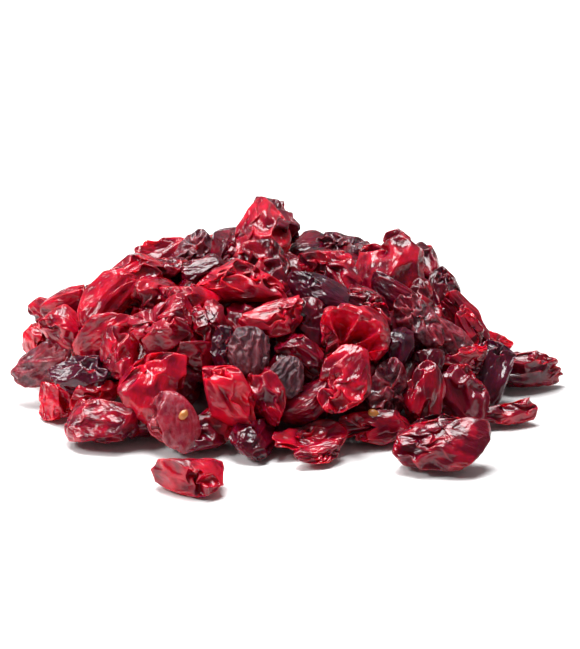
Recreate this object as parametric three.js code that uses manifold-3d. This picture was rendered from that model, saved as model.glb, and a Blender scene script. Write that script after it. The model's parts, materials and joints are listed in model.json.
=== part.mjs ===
// A heap of dried cranberries, tipped out on a flat surface: sweet, sticky, shrivelled berries a
// little over a centimetre long, piled into a low round mound with a few that rolled to its foot.
// The heap is one solid: a plain mound inside, and on it the berries that show, each fused on at
// its own size. Millimetres, +Z up, the origin under the middle of the heap on what it stands on.

import * as THREE from "three";
import { mergeVertices } from "three/addons/utils/BufferGeometryUtils.js";
import Module from "manifold-3d";

const wasm = await Module();
wasm.setup();

// The mound. The middles of the berries lie on a dome, which reaches this far to each side and to
// the front and back, and the plain core keeps a little inside it.
const DOME_LEFT = 45;
const DOME_RIGHT = 38;
const DOME_FRONT = 31;
const DOME_BACK = 36;
const DOME_HEIGHT = 21.5;
const DOME_ROUND = 3; // how long the top stays level before the side falls away
const DOME_CLIFF = 4; // what the left end, which is steeper, has on top of that
const DOME_STEEP = 0.8; // how sharply the side meets the ground
const CORE_INSIDE = 1.1; // how far the core lies inside the dome
const CORE_REACH = 0.985; // how far down the dome's side the core follows it
const CORE_FOOT = 1; // least height of the core's edge
const CORE_SIDES = 28;
const CORE_STEPS = 6;
const SHOULDERS = [-16, 21]; // how far to each side the back of the heap starts to fall away
const SHOULDER_BACK = 6; // and how far back
const SHOULDER_REACH = 8; // over which length it does
const SHOULDER_SINK = 3.4; // how much deeper the berries lie there
const SHOULDER_CORE = 2.6; // and the core
const HEAP_SHIFT = new THREE.Vector3(0.3, 5.9, 0); // brings the middle of the finished heap to the origin

// The berries on the front are placed as they are seen from one spot: from the front, looking
// down a little on the point in the middle of the heap.
const LOOK_DOWN = THREE.MathUtils.degToRad(19);
const EYE_AWAY = 600;
const EYE_AIM = new THREE.Vector3(0, 0, 11.5);
const SIGHT_STEP = 0.25;

// A berry's make.
const SMALL_BERRY = 9.5; // a shorter one on the front is made of fewer faces
const THICKNESS = 0.8; // thickness as a share of its width
const SETTLE = 0.9; // a berry on the ground sinks to this share of its half height
const FACE_OUT = 1.1; // how much a berry's face turns from the eye to the way out of the heap
const FACE_UP = 4; // and to the way up, if it lies on the ground
const FORESHORTENED = 1.6; // most that a berry's length is made up for pointing to the eye
const FURROW_DEPTH = 0.2;
const DENT_DEPTH = 0.42;
const DENTS = 5;
const DENT_REACH = 0.75; // cosine of the angle at which a dent ends

// The berries at the back and in the gaps are laid by rule.
const RULE_SEED = 41;
const RULE_TRIES = 16000;
const RULE_LONG = [11, 14.5];
const RULE_SLIM = [0.68, 0.9]; // width as a share of length
const RULE_ROOM = 0.29; // least distance between middles, as a share of the two lengths
const GAP_ROOM = 0.3; // and in a gap on the front or the top
const GAP_BACK = 12; // how far back the gaps are filled
const RULE_TILT = 0.45; // radians
const RULE_SPREAD = 0.97; // how far out they lie
const GAP_SINK = 1.4; // a berry in a gap lies this much deeper

// What the eye sees of the heap, berry by berry. Across and rise are from the middle of the heap
// to the middle of the berry, long and wide are its size, and lean is the angle in degrees by which
// its long way rises to the right. The last number brings a berry nearer to the eye.
const SEEN = [
  // the crest and the pair on top
  [-4.6, 15.8, 12.4, 10.0, 80, "whole", 8],
  [-2.4, 17.4, 9.4, 8.2, 100, "whole", 4],
  [-10.5, 12.6, 9.8, 7.4, 70, "whole", 0],
  [-18.9, 12.2, 14.4, 7.2, 14, "curl", 0],
  [3.4, 12.8, 9.2, 7.4, 20, "whole", -2],
  [9.6, 12.8, 11.0, 8.0, -12, "curl", -2],
  [16.8, 9.2, 13.2, 12.6, 75, "whole", 1],
  [23.2, 8.9, 10.6, 8.2, -60, "whole", 0],
  [25.8, 5.4, 8.6, 6.0, 75, "whole", 1],
  // the upper left
  [-26.6, 8.2, 12.0, 9.6, 35, "whole", 0],
  [-31.4, 4.0, 12.0, 7.6, 42, "whole", 1],
  [-38.2, 3.2, 8.6, 7.2, 25, "whole", 0],
  [-42.2, 1.8, 6.6, 5.8, 0, "whole", 0],
  [-38.6, -0.4, 8.4, 7.2, -20, "whole", 1],
  [-43.0, -2.6, 7.6, 5.8, 60, "whole", 0],
  [-31.6, -1.2, 12.6, 6.8, 25, "whole", 0],
  [-21.6, -0.6, 11.4, 10.2, 10, "whole", 1],
  [-17.0, 4.4, 11.0, 6.4, 4, "whole", 0],
  [-14.2, 8.6, 8.6, 6.2, 10, "whole", -1],
  [-8.0, 7.4, 15.6, 8.2, -5, "whole", 2],
  // the middle
  [-13.8, 0.2, 8.4, 6.4, -70, "whole", -1],
  [-2.9, 0.8, 11.4, 6.8, 12, "whole", 1],
  [-8.2, -4.4, 11.4, 10.0, -40, "disc", 0],
  [-0.5, -8.9, 7.2, 6.4, 60, "disc", 1],
  [-17.2, -5.8, 8.2, 6.2, 0, "whole", -1],
  [1.8, -4.8, 9.8, 6.0, -45, "whole", 0],
  [4.2, 0.2, 8.2, 6.2, 80, "whole", -2],
  [8.0, 9.0, 11.4, 7.4, -42, "whole", 1],
  [5.2, 5.2, 12.8, 7.2, -18, "whole", 0],
  [17.8, 5.2, 10.2, 6.0, -30, "whole", 0],
  [11.4, -1.4, 12.0, 10.2, -15, "half", 2],
  [9.6, -9.6, 12.2, 9.0, 75, "whole", 2],
  [18.0, -3.8, 8.2, 6.2, 70, "whole", -1],
  [16.6, -10.8, 10.2, 7.6, 80, "curl", 0],
  // the lower left and the berries that rolled to its foot
  [-41.6, -6.2, 12.6, 7.6, 32, "curl", 0],
  [-28.8, -4.8, 10.0, 7.6, 110, "whole", 0],
  [-35.2, -8.6, 11.2, 6.8, 5, "whole", 1],
  [-39.4, -13.2, 7.8, 7.2, 20, "whole", 0],
  [-33.0, -11.6, 9.2, 5.8, 12, "whole", 0],
  [-32.2, -16.8, 12.4, 9.6, -8, "whole", 1],
  [-23.4, -10.6, 12.8, 11.0, 75, "whole", 1],
  [-25.2, -17.0, 8.6, 7.0, 30, "whole", -1],
  [-19.8, -16.6, 12.0, 8.8, -62, "curl", 3],
  [-13.4, -18.2, 8.8, 7.2, 60, "whole", -1],
  [-18.0, -21.6, 10.8, 8.4, 80, "disc", 0],
  [-16.6, -24.9, 11.4, 8.6, -16, "whole", 0],
  [-10.5, -12.2, 13.0, 8.4, -52, "whole", 2],
  [-4.2, -12.4, 10.4, 7.6, -60, "whole", 1],
  [-6.1, -19.0, 8.8, 7.8, 70, "whole", 0],
  // the lower right and the berries that rolled to its foot
  [3.6, -12.6, 12.6, 6.2, 38, "whole", 0],
  [3.4, -19.0, 12.6, 7.6, 4, "half", 1],
  [5.0, -22.0, 8.8, 5.4, 14, "sliver", 0],
  [14.4, -17.8, 12.8, 6.2, 6, "whole", 0],
  [22.4, -12.6, 13.4, 7.2, 84, "curl", 1],
  [28.8, -13.2, 11.4, 8.6, -68, "whole", 0],
  [29.4, -6.6, 9.2, 5.6, 12, "whole", 0],
  [34.0, -8.4, 12.0, 8.2, 80, "whole", 1],
  [23.2, -6.4, 6.0, 5.2, 60, "whole", 0],
  [22.2, 0.6, 11.0, 7.0, -48, "curl", 1],
  [27.2, -2.8, 10.2, 7.4, -35, "curl", 0],
  [30.6, 2.0, 11.4, 5.4, -42, "whole", 0],
  [30.2, -1.2, 9.2, 5.4, -60, "whole", 0],
  [34.2, -3.0, 7.6, 4.0, -10, "sliver", 0],
  [39.0, -7.6, 14.6, 9.2, -6, "whole", 0],
  [36.8, -15.4, 10.6, 5.6, 6, "whole", 0],
  [26.0, -21.0, 15.8, 10.0, -5, "whole", 0],
  // low berries hidden behind those at the foot
  [25.0, -19.2, 10.8, 8.6, 10, "disc", 0],
  [26.4, -17.4, 9.0, 7.4, -20, "disc", 0],
  [-15.6, -19.9, 9.6, 8.8, 0, "disc", 0],
  [3.0, -20.0, 10.0, 8.4, 5, "disc", 0],
];

// Numbers between 0 and 1, the same on every run.
function drawsFrom(seed) {
  let state = seed;
  return () => {
    state = (state * 1664525 + 1013904223) % 4294967296;
    return state / 4294967296;
  };
}

const between = (draw, [low, high]) => low + (high - low) * draw();

function directionFrom(draw) {
  const up = 2 * draw() - 1;
  const turn = 2 * Math.PI * draw();
  const out = Math.sqrt(1 - up * up);
  return new THREE.Vector3(out * Math.cos(turn), out * Math.sin(turn), up);
}

// How far out a place on the ground lies: 0 under the middle of the dome and 1 at its foot.
function domeSpread(x, y) {
  const out = Math.hypot(x / (x < 0 ? DOME_LEFT : DOME_RIGHT), y / (y < 0 ? DOME_FRONT : DOME_BACK));
  return out ** (DOME_ROUND + DOME_CLIFF * Math.max(0, -x / DOME_LEFT));
}

// The height of the dome on which the middles of the berries lie.
function domeHeight(x, y) {
  return DOME_HEIGHT * (1 - Math.min(1, domeSpread(x, y))) ** DOME_STEEP;
}

// How a place lies to the dome: under 1 inside it, and the more above 1 the further outside.
function domeLevel({ x, y, z }) {
  return domeSpread(x, y) + (Math.max(0, z) / DOME_HEIGHT) ** (1 / DOME_STEEP);
}

// The way straight out of the dome at a place on it.
function domeNormal(x, y) {
  const reach = 0.5;
  const alongX = domeHeight(x + reach, y) - domeHeight(x - reach, y);
  const alongY = domeHeight(x, y + reach) - domeHeight(x, y - reach);
  return new THREE.Vector3(-alongX, -alongY, 2 * reach).normalize();
}

// How far the back of the heap has fallen away at a place: from 0, not at all, to 1.
function shoulder(x, y) {
  const aside = Math.max(SHOULDERS[0] - x, x - SHOULDERS[1]) / SHOULDER_REACH;
  const back = (y - SHOULDER_BACK) / SHOULDER_REACH;
  return THREE.MathUtils.clamp(aside, 0, 1) * THREE.MathUtils.clamp(back, 0, 1);
}

// What a dried berry does to a round one, in a space where the fresh berry is a ball of radius 1,
// x runs along it and z comes out of its face.
const FORMS = {
  whole: (p) => p,
  // A berry cut across: the cut face has sunk between its rolled rim.
  half: (p) => {
    const out = p.x * p.x + p.y * p.y;
    if (p.z > 0) p.z = 0.5 * p.z - 0.55 * Math.max(0, 1 - out);
    return p;
  },
  // A berry pressed flat.
  disc: (p) => {
    p.z *= 0.6;
    return p;
  },
  // A berry opened flat, with its sides curled back.
  curl: (p) => {
    p.z = 0.62 * p.z - 0.5 * p.y * p.y + 0.2 * p.x * p.x;
    return p;
  },
  // A torn strip of skin.
  sliver: (p) => {
    p.z = 0.7 * p.z + 0.5 * p.x * p.x;
    return p;
  },
};

// One berry: a ball furrowed from end to end and dented where it fell in, brought to its form.
function berryGeometry(form, halfSize, plain, draw) {
  const ball = plain ? new THREE.OctahedronGeometry(1, 1) : new THREE.IcosahedronGeometry(1, 1);
  ball.deleteAttribute("normal");
  ball.deleteAttribute("uv");
  const geometry = mergeVertices(ball, 1e-4);
  const furrows = 3 + Math.floor(3 * draw());
  const firstFurrow = 2 * Math.PI * draw();
  const dents = Array.from({ length: DENTS }, () => directionFrom(draw));
  const places = geometry.attributes.position;
  const p = new THREE.Vector3();
  for (let i = 0; i < places.count; i++) {
    p.fromBufferAttribute(places, i).normalize();
    const round = Math.atan2(p.z, p.y);
    const side = 1 - p.x * p.x;
    let size = 1 - FURROW_DEPTH * side * (0.5 + 0.5 * Math.cos(furrows * round + firstFurrow));
    for (const dent of dents) {
      const inside = Math.max(0, p.dot(dent) - DENT_REACH) / (1 - DENT_REACH);
      size -= DENT_DEPTH * inside * inside;
    }
    p.multiplyScalar(size);
    FORMS[form](p).multiply(halfSize);
    places.setXYZ(i, p.x, p.y, p.z);
  }
  return geometry;
}

// A closed geometry as a solid that can be joined and cut.
function solidOf(geometry) {
  return new wasm.Manifold(
    new wasm.Mesh({
      numProp: 3,
      vertProperties: new Float32Array(geometry.attributes.position.array),
      triVerts: new Uint32Array(geometry.index.array),
    }),
  );
}

// Half the height of a berry that is turned as the axes say.
function halfHeight(halfSize, axes) {
  return Math.hypot(
    halfSize.x * axes[0].z,
    halfSize.y * axes[1].z,
    halfSize.z * axes[2].z,
  );
}

// Where the line of sight meets the dome, or passes nearest to it on its way to the ground.
function whereSeen(across, rise, groundHeight) {
  const right = new THREE.Vector3(1, 0, 0);
  const up = new THREE.Vector3(0, Math.sin(LOOK_DOWN), Math.cos(LOOK_DOWN));
  const ahead = new THREE.Vector3(0, Math.cos(LOOK_DOWN), -Math.sin(LOOK_DOWN));
  const eye = EYE_AIM.clone().addScaledVector(ahead, -EYE_AWAY);
  const aim = EYE_AIM.clone().addScaledVector(right, across).addScaledVector(up, rise);
  const sight = aim.sub(eye).normalize();
  const at = eye.clone().addScaledVector(sight, EYE_AWAY - 2 * DOME_BACK);
  const place = at.clone();
  while (domeLevel(place) > 1 && at.y < DOME_BACK && at.z > groundHeight) {
    at.addScaledVector(sight, SIGHT_STEP);
    if (domeLevel(at) < domeLevel(place)) place.copy(at);
  }
  return { place, sight };
}

// A berry on the front. Its face looks partly at the eye and partly straight out of the heap, or up
// if it lies on the ground, and its long way is the one that looks as it is seen.
function seenBerry([across, rise, long, wide, lean, form, nearer], index) {
  const angle = THREE.MathUtils.degToRad(lean);
  const up = new THREE.Vector3(0, Math.sin(LOOK_DOWN), Math.cos(LOOK_DOWN));
  const along = new THREE.Vector3(Math.cos(angle), 0, 0).addScaledVector(up, Math.sin(angle));
  const low = 0.5 * SETTLE * THICKNESS * wide;
  const { place, sight } = whereSeen(across, rise, low);
  const onGround = place.z < low + SIGHT_STEP;
  const out = domeNormal(place.x, place.y).multiplyScalar(FACE_OUT);
  if (onGround) out.set(0, 0, FACE_UP);
  const face = out.sub(sight).normalize();
  const alongX = along.addScaledVector(sight, -along.dot(face) / sight.dot(face));
  const made = Math.min(FORESHORTENED, (1 + alongX.length()) / 2);
  const halfSize = new THREE.Vector3(made * long, wide, THICKNESS * wide).multiplyScalar(0.5);
  alongX.normalize();
  const axes = [alongX, face.clone().cross(alongX), face];
  const ground = SETTLE * halfHeight(halfSize, axes);
  if (onGround) place.copy(whereSeen(across, rise, ground).place);
  place.addScaledVector(sight, -nearer);
  place.z = Math.max(place.z, ground);
  return { form, halfSize, axes, place, plain: long < SMALL_BERRY, seed: 100 + index };
}

// A berry laid on the dome at x, y, if there is room between those that lie there already.
function ruleBerry(x, y, laid, draw, index) {
  const long = between(draw, RULE_LONG);
  const wide = long * between(draw, RULE_SLIM);
  const halfSize = new THREE.Vector3(long, wide, THICKNESS * wide).multiplyScalar(0.5);
  const out = domeNormal(x, y);
  const tilted = out.clone().addScaledVector(directionFrom(draw), RULE_TILT).normalize();
  const alongX = directionFrom(draw).cross(tilted).normalize();
  const axes = [alongX, tilted.clone().cross(alongX), tilted];
  const ground = SETTLE * halfHeight(halfSize, axes);
  const place = new THREE.Vector3(x, y, domeHeight(x, y));
  const inGap = y < GAP_BACK;
  place.addScaledVector(out, -(inGap ? GAP_SINK : 0) - SHOULDER_SINK * shoulder(x, y));
  place.z = Math.max(place.z, ground);
  const room = (other) => (inGap ? GAP_ROOM : RULE_ROOM) * (long + 2 * other.halfSize.x);
  if (laid.some((other) => other.place.distanceTo(place) < room(other))) return null;
  const form = ["whole", "whole", "whole", "curl", "disc"][Math.floor(5 * draw())];
  return { form, halfSize, axes, place, plain: true, seed: 500 + index };
}

function layBerries() {
  const laid = SEEN.map(seenBerry);
  const draw = drawsFrom(RULE_SEED);
  for (let i = 0; i < RULE_TRIES; i++) {
    const out = RULE_SPREAD * Math.sin((Math.PI / 2) * Math.sqrt(draw()));
    const turn = 2 * Math.PI * draw();
    const x = out * Math.cos(turn);
    const y = out * Math.sin(turn);
    const [toX, toY] = [x < 0 ? DOME_LEFT : DOME_RIGHT, y < 0 ? DOME_FRONT : DOME_BACK];
    const berry = ruleBerry(toX * x, toY * y, laid, draw, i);
    if (berry) laid.push(berry);
  }
  return laid;
}

function berrySolid(berry) {
  const geometry = berryGeometry(berry.form, berry.halfSize, berry.plain, drawsFrom(berry.seed));
  const stance = new THREE.Matrix4().makeBasis(...berry.axes).setPosition(berry.place);
  return solidOf(geometry.applyMatrix4(stance));
}

// The mound inside the berries.
function coreSolid() {
  const rings = Array.from({ length: CORE_STEPS + 1 }, (_, i) => {
    return new THREE.Vector2(CORE_REACH * Math.sin((Math.PI / 2) * (i / CORE_STEPS)), 1);
  });
  const profile = [...rings, new THREE.Vector2(CORE_REACH, 0), new THREE.Vector2(0, 0)].reverse();
  const lathe = new THREE.LatheGeometry(profile, CORE_SIDES).rotateX(Math.PI / 2);
  lathe.deleteAttribute("normal");
  lathe.deleteAttribute("uv");
  const geometry = mergeVertices(lathe, 1e-4);
  const places = geometry.attributes.position;
  const p = new THREE.Vector3();
  for (let i = 0; i < places.count; i++) {
    p.fromBufferAttribute(places, i);
    const onTop = p.z > 0.5;
    p.x *= p.x < 0 ? DOME_LEFT : DOME_RIGHT;
    p.y *= p.y < 0 ? DOME_FRONT : DOME_BACK;
    p.z = domeHeight(p.x, p.y);
    p.addScaledVector(domeNormal(p.x, p.y), -CORE_INSIDE - SHOULDER_CORE * shoulder(p.x, p.y));
    places.setXYZ(i, p.x, p.y, onTop ? Math.max(p.z, CORE_FOOT) : 0);
  }
  return solidOf(geometry);
}

// What lies below the ground, to be cut away.
function groundSolid() {
  const size = 4 * DOME_LEFT;
  const box = new THREE.BoxGeometry(size, size, size).translate(0, 0, -size / 2);
  box.deleteAttribute("normal");
  box.deleteAttribute("uv");
  return solidOf(mergeVertices(box, 1e-4));
}

// The triangles of the largest surface that hangs together: what fusing shut in, and crumbs that the
// ground cut off, are left out.
function largestSurface(triangles, count) {
  const first = Array.from({ length: count }, (_, i) => i);
  const firstOf = (i) => {
    while (first[i] !== i) {
      first[i] = first[first[i]];
      i = first[i];
    }
    return i;
  };
  for (let i = 0; i < triangles.length; i += 3) {
    first[firstOf(triangles[i])] = firstOf(triangles[i + 1]);
    first[firstOf(triangles[i + 1])] = firstOf(triangles[i + 2]);
  }
  const sizes = new Array(count).fill(0);
  for (let i = 0; i < triangles.length; i += 3) sizes[firstOf(triangles[i])]++;
  const largest = sizes.indexOf(Math.max(...sizes));
  return triangles.filter((_, i) => firstOf(triangles[i - (i % 3)]) === largest);
}

function heapGeometry() {
  const berries = layBerries();
  const heap = wasm.Manifold.union([coreSolid(), ...berries.map(berrySolid)]).subtract(groundSolid());
  const { vertProperties, triVerts } = heap.getMesh();
  const surface = largestSurface(triVerts, vertProperties.length / 3);
  const whole = new THREE.BufferGeometry()
    .setAttribute("position", new THREE.BufferAttribute(vertProperties, 3))
    .setIndex(new THREE.BufferAttribute(surface, 1))
    .toNonIndexed();
  const geometry = mergeVertices(whole, 1e-5).translate(...HEAP_SHIFT.toArray());
  geometry.computeVertexNormals();
  return geometry;
}

const skin = new THREE.MeshStandardMaterial({
  name: "cranberry_skin",
  color: 0x8c0f1c,
  roughness: 0.25,
  metalness: 0,
});

const heap = new THREE.Mesh(heapGeometry(), skin);
heap.name = "cranberry_heap";

const part = new THREE.Group();
part.add(heap);

export default part;
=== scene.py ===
# A heap of sweetened dried cranberries, tipped out on a white table: glossy, sticky, shrivelled
# berries a little over a centimetre long, some opened or pressed flat, in a low round mound.
# Sizes are in millimetres and become metres where a mesh is made.

import json
import math

import bpy
import numpy as np
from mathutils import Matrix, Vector
from mathutils.bvhtree import BVHTree
from mathutils.kdtree import KDTree

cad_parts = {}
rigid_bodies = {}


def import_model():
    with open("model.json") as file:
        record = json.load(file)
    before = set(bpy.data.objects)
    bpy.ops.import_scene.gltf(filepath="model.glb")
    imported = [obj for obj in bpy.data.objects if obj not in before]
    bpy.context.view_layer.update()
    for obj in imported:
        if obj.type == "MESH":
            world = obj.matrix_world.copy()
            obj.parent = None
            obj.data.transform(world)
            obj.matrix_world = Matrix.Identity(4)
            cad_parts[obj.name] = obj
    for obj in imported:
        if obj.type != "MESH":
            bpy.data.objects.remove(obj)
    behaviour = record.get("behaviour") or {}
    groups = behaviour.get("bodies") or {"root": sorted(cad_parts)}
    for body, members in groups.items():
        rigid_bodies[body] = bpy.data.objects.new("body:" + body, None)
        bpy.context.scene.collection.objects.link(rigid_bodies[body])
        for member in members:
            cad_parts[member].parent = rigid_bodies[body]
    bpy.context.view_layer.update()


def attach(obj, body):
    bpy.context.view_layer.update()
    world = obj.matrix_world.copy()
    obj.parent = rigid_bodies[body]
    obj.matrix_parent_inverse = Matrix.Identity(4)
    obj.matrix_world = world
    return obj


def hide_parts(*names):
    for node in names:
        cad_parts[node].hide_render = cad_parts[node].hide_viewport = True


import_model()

# The camera. It stands in front of the heap and looks down a little on its middle, from far enough
# away that the berries at the back look as large as those in front.
MM = 0.001
HEAP_SHIFT = np.array([0.3, 5.9, 0.0])
LOOK_DOWN = math.radians(19)
EYE_AWAY = 600
EYE_AIM = np.array([0.0, 0.0, 11.5])
PICTURE_HIGH = 649 * 0.17
SENSOR = 36
NEAREST_SEEN = 0.01
FURTHEST_SEEN = 20

ahead = np.array([0, math.cos(LOOK_DOWN), -math.sin(LOOK_DOWN)])
upward = np.array([0, math.sin(LOOK_DOWN), math.cos(LOOK_DOWN)])
eye = EYE_AIM - EYE_AWAY * ahead
camera_data = bpy.data.cameras.new("camera")
camera_data.sensor_width = SENSOR
camera_data.lens = SENSOR * EYE_AWAY / PICTURE_HIGH
camera_data.clip_start = NEAREST_SEEN
camera_data.clip_end = FURTHEST_SEEN
camera = bpy.data.objects.new("camera", camera_data)
bpy.context.scene.collection.objects.link(camera)
camera.location = Vector((eye + HEAP_SHIFT) * MM)
camera.rotation_euler = Vector(ahead).to_track_quat("-Z", "Y").to_euler()
bpy.context.scene.camera = camera

# The middle of the heap, where the berries that are out of sight have pressed together into one
# sticky lump, painted a dark red as painted shade. The middles of the outer berries lie on the dome;
# the lump keeps inside it.
DOME_LEFT = 45
DOME_RIGHT = 38
DOME_FRONT = 31
DOME_BACK = 36
DOME_HEIGHT = 21.5
DOME_ROUND = 3
DOME_CLIFF = 4
DOME_STEEP = 0.8
SHOULDERS = (-16, 21)
SHOULDER_BACK = 6
SHOULDER_REACH = 8
SHOULDER_SINK = 3.4
LUMP_INSIDE = 5.5
LUMP_REACH = 0.93
LUMP_RINGS = 40
LUMP_SIDES = 120
LUMP_KNOB = 1.1
LUMP_FINENESS = 0.5
LUMP_SEED = 5
LUMP_FOOT = 0.2
# Painted shade: the lump's dark red stands for the shade deep inside the heap.
LUMP_SHADE_RED = (0.06, 0.002, 0.006, 1)
LUMP_ROUGHNESS = 0.4


def dome_spread(x, y):
    out = math.hypot(x / (DOME_LEFT if x < 0 else DOME_RIGHT), y / (DOME_FRONT if y < 0 else DOME_BACK))
    return out ** (DOME_ROUND + DOME_CLIFF * max(0, -x / DOME_LEFT))


def dome_height(x, y):
    return DOME_HEIGHT * (1 - min(1, dome_spread(x, y))) ** DOME_STEEP


def dome_level(place):
    """Under 1 inside the dome, and the more above 1 the further outside."""
    x, y, z = place
    return dome_spread(x, y) + (max(0, z) / DOME_HEIGHT) ** (1 / DOME_STEEP)


def dome_normal(x, y):
    reach = 0.5
    along_x = dome_height(x + reach, y) - dome_height(x - reach, y)
    along_y = dome_height(x, y + reach) - dome_height(x, y - reach)
    return unit(np.array([-along_x, -along_y, 2 * reach]))


def shoulder(x, y):
    """How far the back of the heap has fallen away at a place: from 0, not at all, to 1."""
    aside = max(SHOULDERS[0] - x, x - SHOULDERS[1]) / SHOULDER_REACH
    back = (y - SHOULDER_BACK) / SHOULDER_REACH
    return min(max(aside, 0), 1) * min(max(back, 0), 1)


def unit(vector):
    return vector / np.linalg.norm(vector)


def swell(rng, points, fineness):
    """A smooth value that rises and falls over the points, mostly between -1 and 1."""
    waves = rng.normal(size=(10, 3))
    waves *= fineness / np.linalg.norm(waves, axis=1)[:, None] * rng.uniform(0.6, 1.3, (10, 1))
    return 3 * np.sin(points @ waves.T + rng.uniform(0, 2 * np.pi, 10)).mean(1)


def heap_piece(name, places, faces, skin):
    """Makes one piece of the heap from places in millimetres, and ties it to the model."""
    mesh = bpy.data.meshes.new(name)
    mesh.from_pydata(((places + HEAP_SHIFT) * MM).tolist(), [], faces.tolist())
    mesh.shade_smooth()
    mesh.materials.append(skin)
    piece = bpy.data.objects.new(name, mesh)
    bpy.context.scene.collection.objects.link(piece)
    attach(piece, "root")
    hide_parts("cranberry_heap")
    return piece


def plain_skin(name, red, roughness):
    skin = bpy.data.materials.new(name)
    skin.use_nodes = True
    shader = skin.node_tree.nodes["Principled BSDF"]
    shader.inputs["Base Color"].default_value = red
    shader.inputs["Roughness"].default_value = roughness
    return skin


def lump():
    places = [(0, 0, LUMP_FOOT), (0, 0, dome_height(0, 0) - LUMP_INSIDE)]
    for ring in range(1, LUMP_RINGS + 1):
        out = LUMP_REACH * math.sin(math.pi / 2 * ring / LUMP_RINGS)
        for side in range(LUMP_SIDES):
            turn = 2 * math.pi * side / LUMP_SIDES
            x = out * math.cos(turn)
            y = out * math.sin(turn)
            x *= DOME_LEFT if x < 0 else DOME_RIGHT
            y *= DOME_FRONT if y < 0 else DOME_BACK
            deep = LUMP_INSIDE + SHOULDER_SINK * shoulder(x, y)
            places.append(np.array([x, y, dome_height(x, y)]) - deep * dome_normal(x, y))
    places = np.array(places, float)
    knobs = LUMP_KNOB * swell(np.random.default_rng(LUMP_SEED), places, LUMP_FINENESS)
    places[1:, 2] = np.maximum(LUMP_FOOT, places[1:, 2] + knobs[1:])
    foot = places[-LUMP_SIDES:] * (1, 1, 0) + (0, 0, LUMP_FOOT)
    places = np.vstack([places, foot])
    faces = []
    for side in range(LUMP_SIDES):
        after = (side + 1) % LUMP_SIDES
        faces.append((1, 2 + side, 2 + after))
        for ring in range(LUMP_RINGS):
            near = 2 + ring * LUMP_SIDES
            far = near + LUMP_SIDES
            faces.append((near + side, far + side, far + after))
            faces.append((near + side, far + after, near + after))
        edge = 2 + LUMP_RINGS * LUMP_SIDES
        faces.append((edge + side, 0, edge + after))
    return places, np.array(faces)


places, faces = lump()
heap_piece("heap_middle", places, faces, plain_skin("inner_berries_painted_shade", LUMP_SHADE_RED, LUMP_ROUGHNESS))

# The scarlet berries, the brightest of the heap. A cranberry is a round berry with a tough skin over
# flesh that dries away: the skin is then too large, and folds into furrows, facets and stars. Sugar
# syrup keeps it soft, glossy and clear enough for light to glow through its thin places.
THICKNESS = 0.8
SETTLE = 0.9
FACE_OUT = 1.1
FACE_UP = 4
FORESHORTENED = 1.6
SIGHT_STEP = 0.25
FLOOR_SOFT = 1.6
EVEN_DRYING = ((3, 0.93, 60), (4, 0.93, 80), (5, 0.93, 120))
EARLY_DRYING = ((3, 0.88, 80), (4, 0.97, 80), (5, 0.98, 120))
FIRST_DRYING = ((3, 0.85, 80), (4, 0.98, 80), (5, 0.99, 120))
STIFFNESS = (0.08, 0.1, 0.12)
FLESH_STILL = 0.7
SWING_KEPT = 0.85
STEP_LENGTH = 0.55
CREASE_TURNS = (5, 23)
FINE_SHARE = 0.42
PRESSED_SIDES = 6
PRESSED_FROM = (0.4, 0.75)
PRESSED_LEFT = 0.25
BENT = 0.12
SHADE_VARIES = 0.1
GRAIN_APART = 500

# The skin: how it shines and glows, how deep its finest wrinkles are, and the pink haze on dull
# places, which is partly dust and partly painted sheen.
SKIN_SHINE = 0.45
SKIN_GLOW = 1.0
GLOW_REACH = (1, 0.1, 0.08)
SKIN_FOLD = 0.3
FINE_FOLD = 0.06
ALONG_BERRY = (0.45, 1, 1)
DUST_AND_SHEEN_PINK = (0.60, 0.22, 0.26, 1)

# How each kind of berry dried: its round shape, where it fell in, and how its skin folded.
FIRST_HOLD = (0.01, 0.01, 0.01)
LATE_HOLD = (0.02, 0.006, 0.003)
DRIED = {
    "folded": dict(seed=4, dents=6, uneven=0.25, hold=FIRST_HOLD, drying=FIRST_DRYING),
    "crooked": dict(seed=24, dents=5, uneven=0.35, hold=FIRST_HOLD, drying=FIRST_DRYING),
    "pinched": dict(seed=17, dents=7, uneven=0.3, girth=0.8, hold=LATE_HOLD, drying=FIRST_DRYING),
    "gathered": dict(seed=37, dents=6, uneven=0.35, girth=0.85, hold=LATE_HOLD, drying=FIRST_DRYING),
    "cornered": dict(seed=16, dents=6, girth=0.7, uneven=0.2, hold=FIRST_HOLD, drying=FIRST_DRYING),
    "angular": dict(seed=46, dents=7, girth=0.8, uneven=0.3, hold=FIRST_HOLD, drying=FIRST_DRYING),
    "faceted": dict(seed=15, dents=4, girth=0.8, uneven=0.2, drying=FIRST_DRYING),
    "sunken": dict(seed=45, dents=5, uneven=0.25, dent_depth=(0.4, 0.7), drying=FIRST_DRYING),
    "twisted": dict(seed=3, dents=5, girth=0.75, uneven=0.2, drying=EARLY_DRYING),
    "narrow": dict(seed=13, girth=0.7, dents=4, uneven=0.2, drying=EARLY_DRYING),
    "crumpled": dict(seed=1, dents=5, uneven=0.25, hold=FIRST_HOLD, drying=EARLY_DRYING),
    "furrowed": dict(seed=18, girth=0.65, dents=3, dent_depth=(0.4, 0.7), uneven=0.25, drying=EARLY_DRYING),
    "puckered": dict(seed=8, dents=5, uneven=0.3, drying=EARLY_DRYING, stiffness=(0.05, 0.04, 0.03)),
    "raisin": dict(seed=12, girth=0.75, dents=4, uneven=0.2, hold=(0.004, 0.004, 0.004)),
    "coin": dict(seed=20, shape=(1, 0.9, 0.45), dents=1, hollows=[((0, 0, 1), 0.3), ((0, 0, -1), 0.3)]),
    "leaf": dict(seed=22, shape=(1, 0.85, 0.5), dents=5, hollows=[((0, 0, 1), 0.5)]),
    "rag": dict(seed=52, shape=(1, 0.9, 0.45), dents=6, uneven=0.35, drying=FIRST_DRYING),
}


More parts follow.
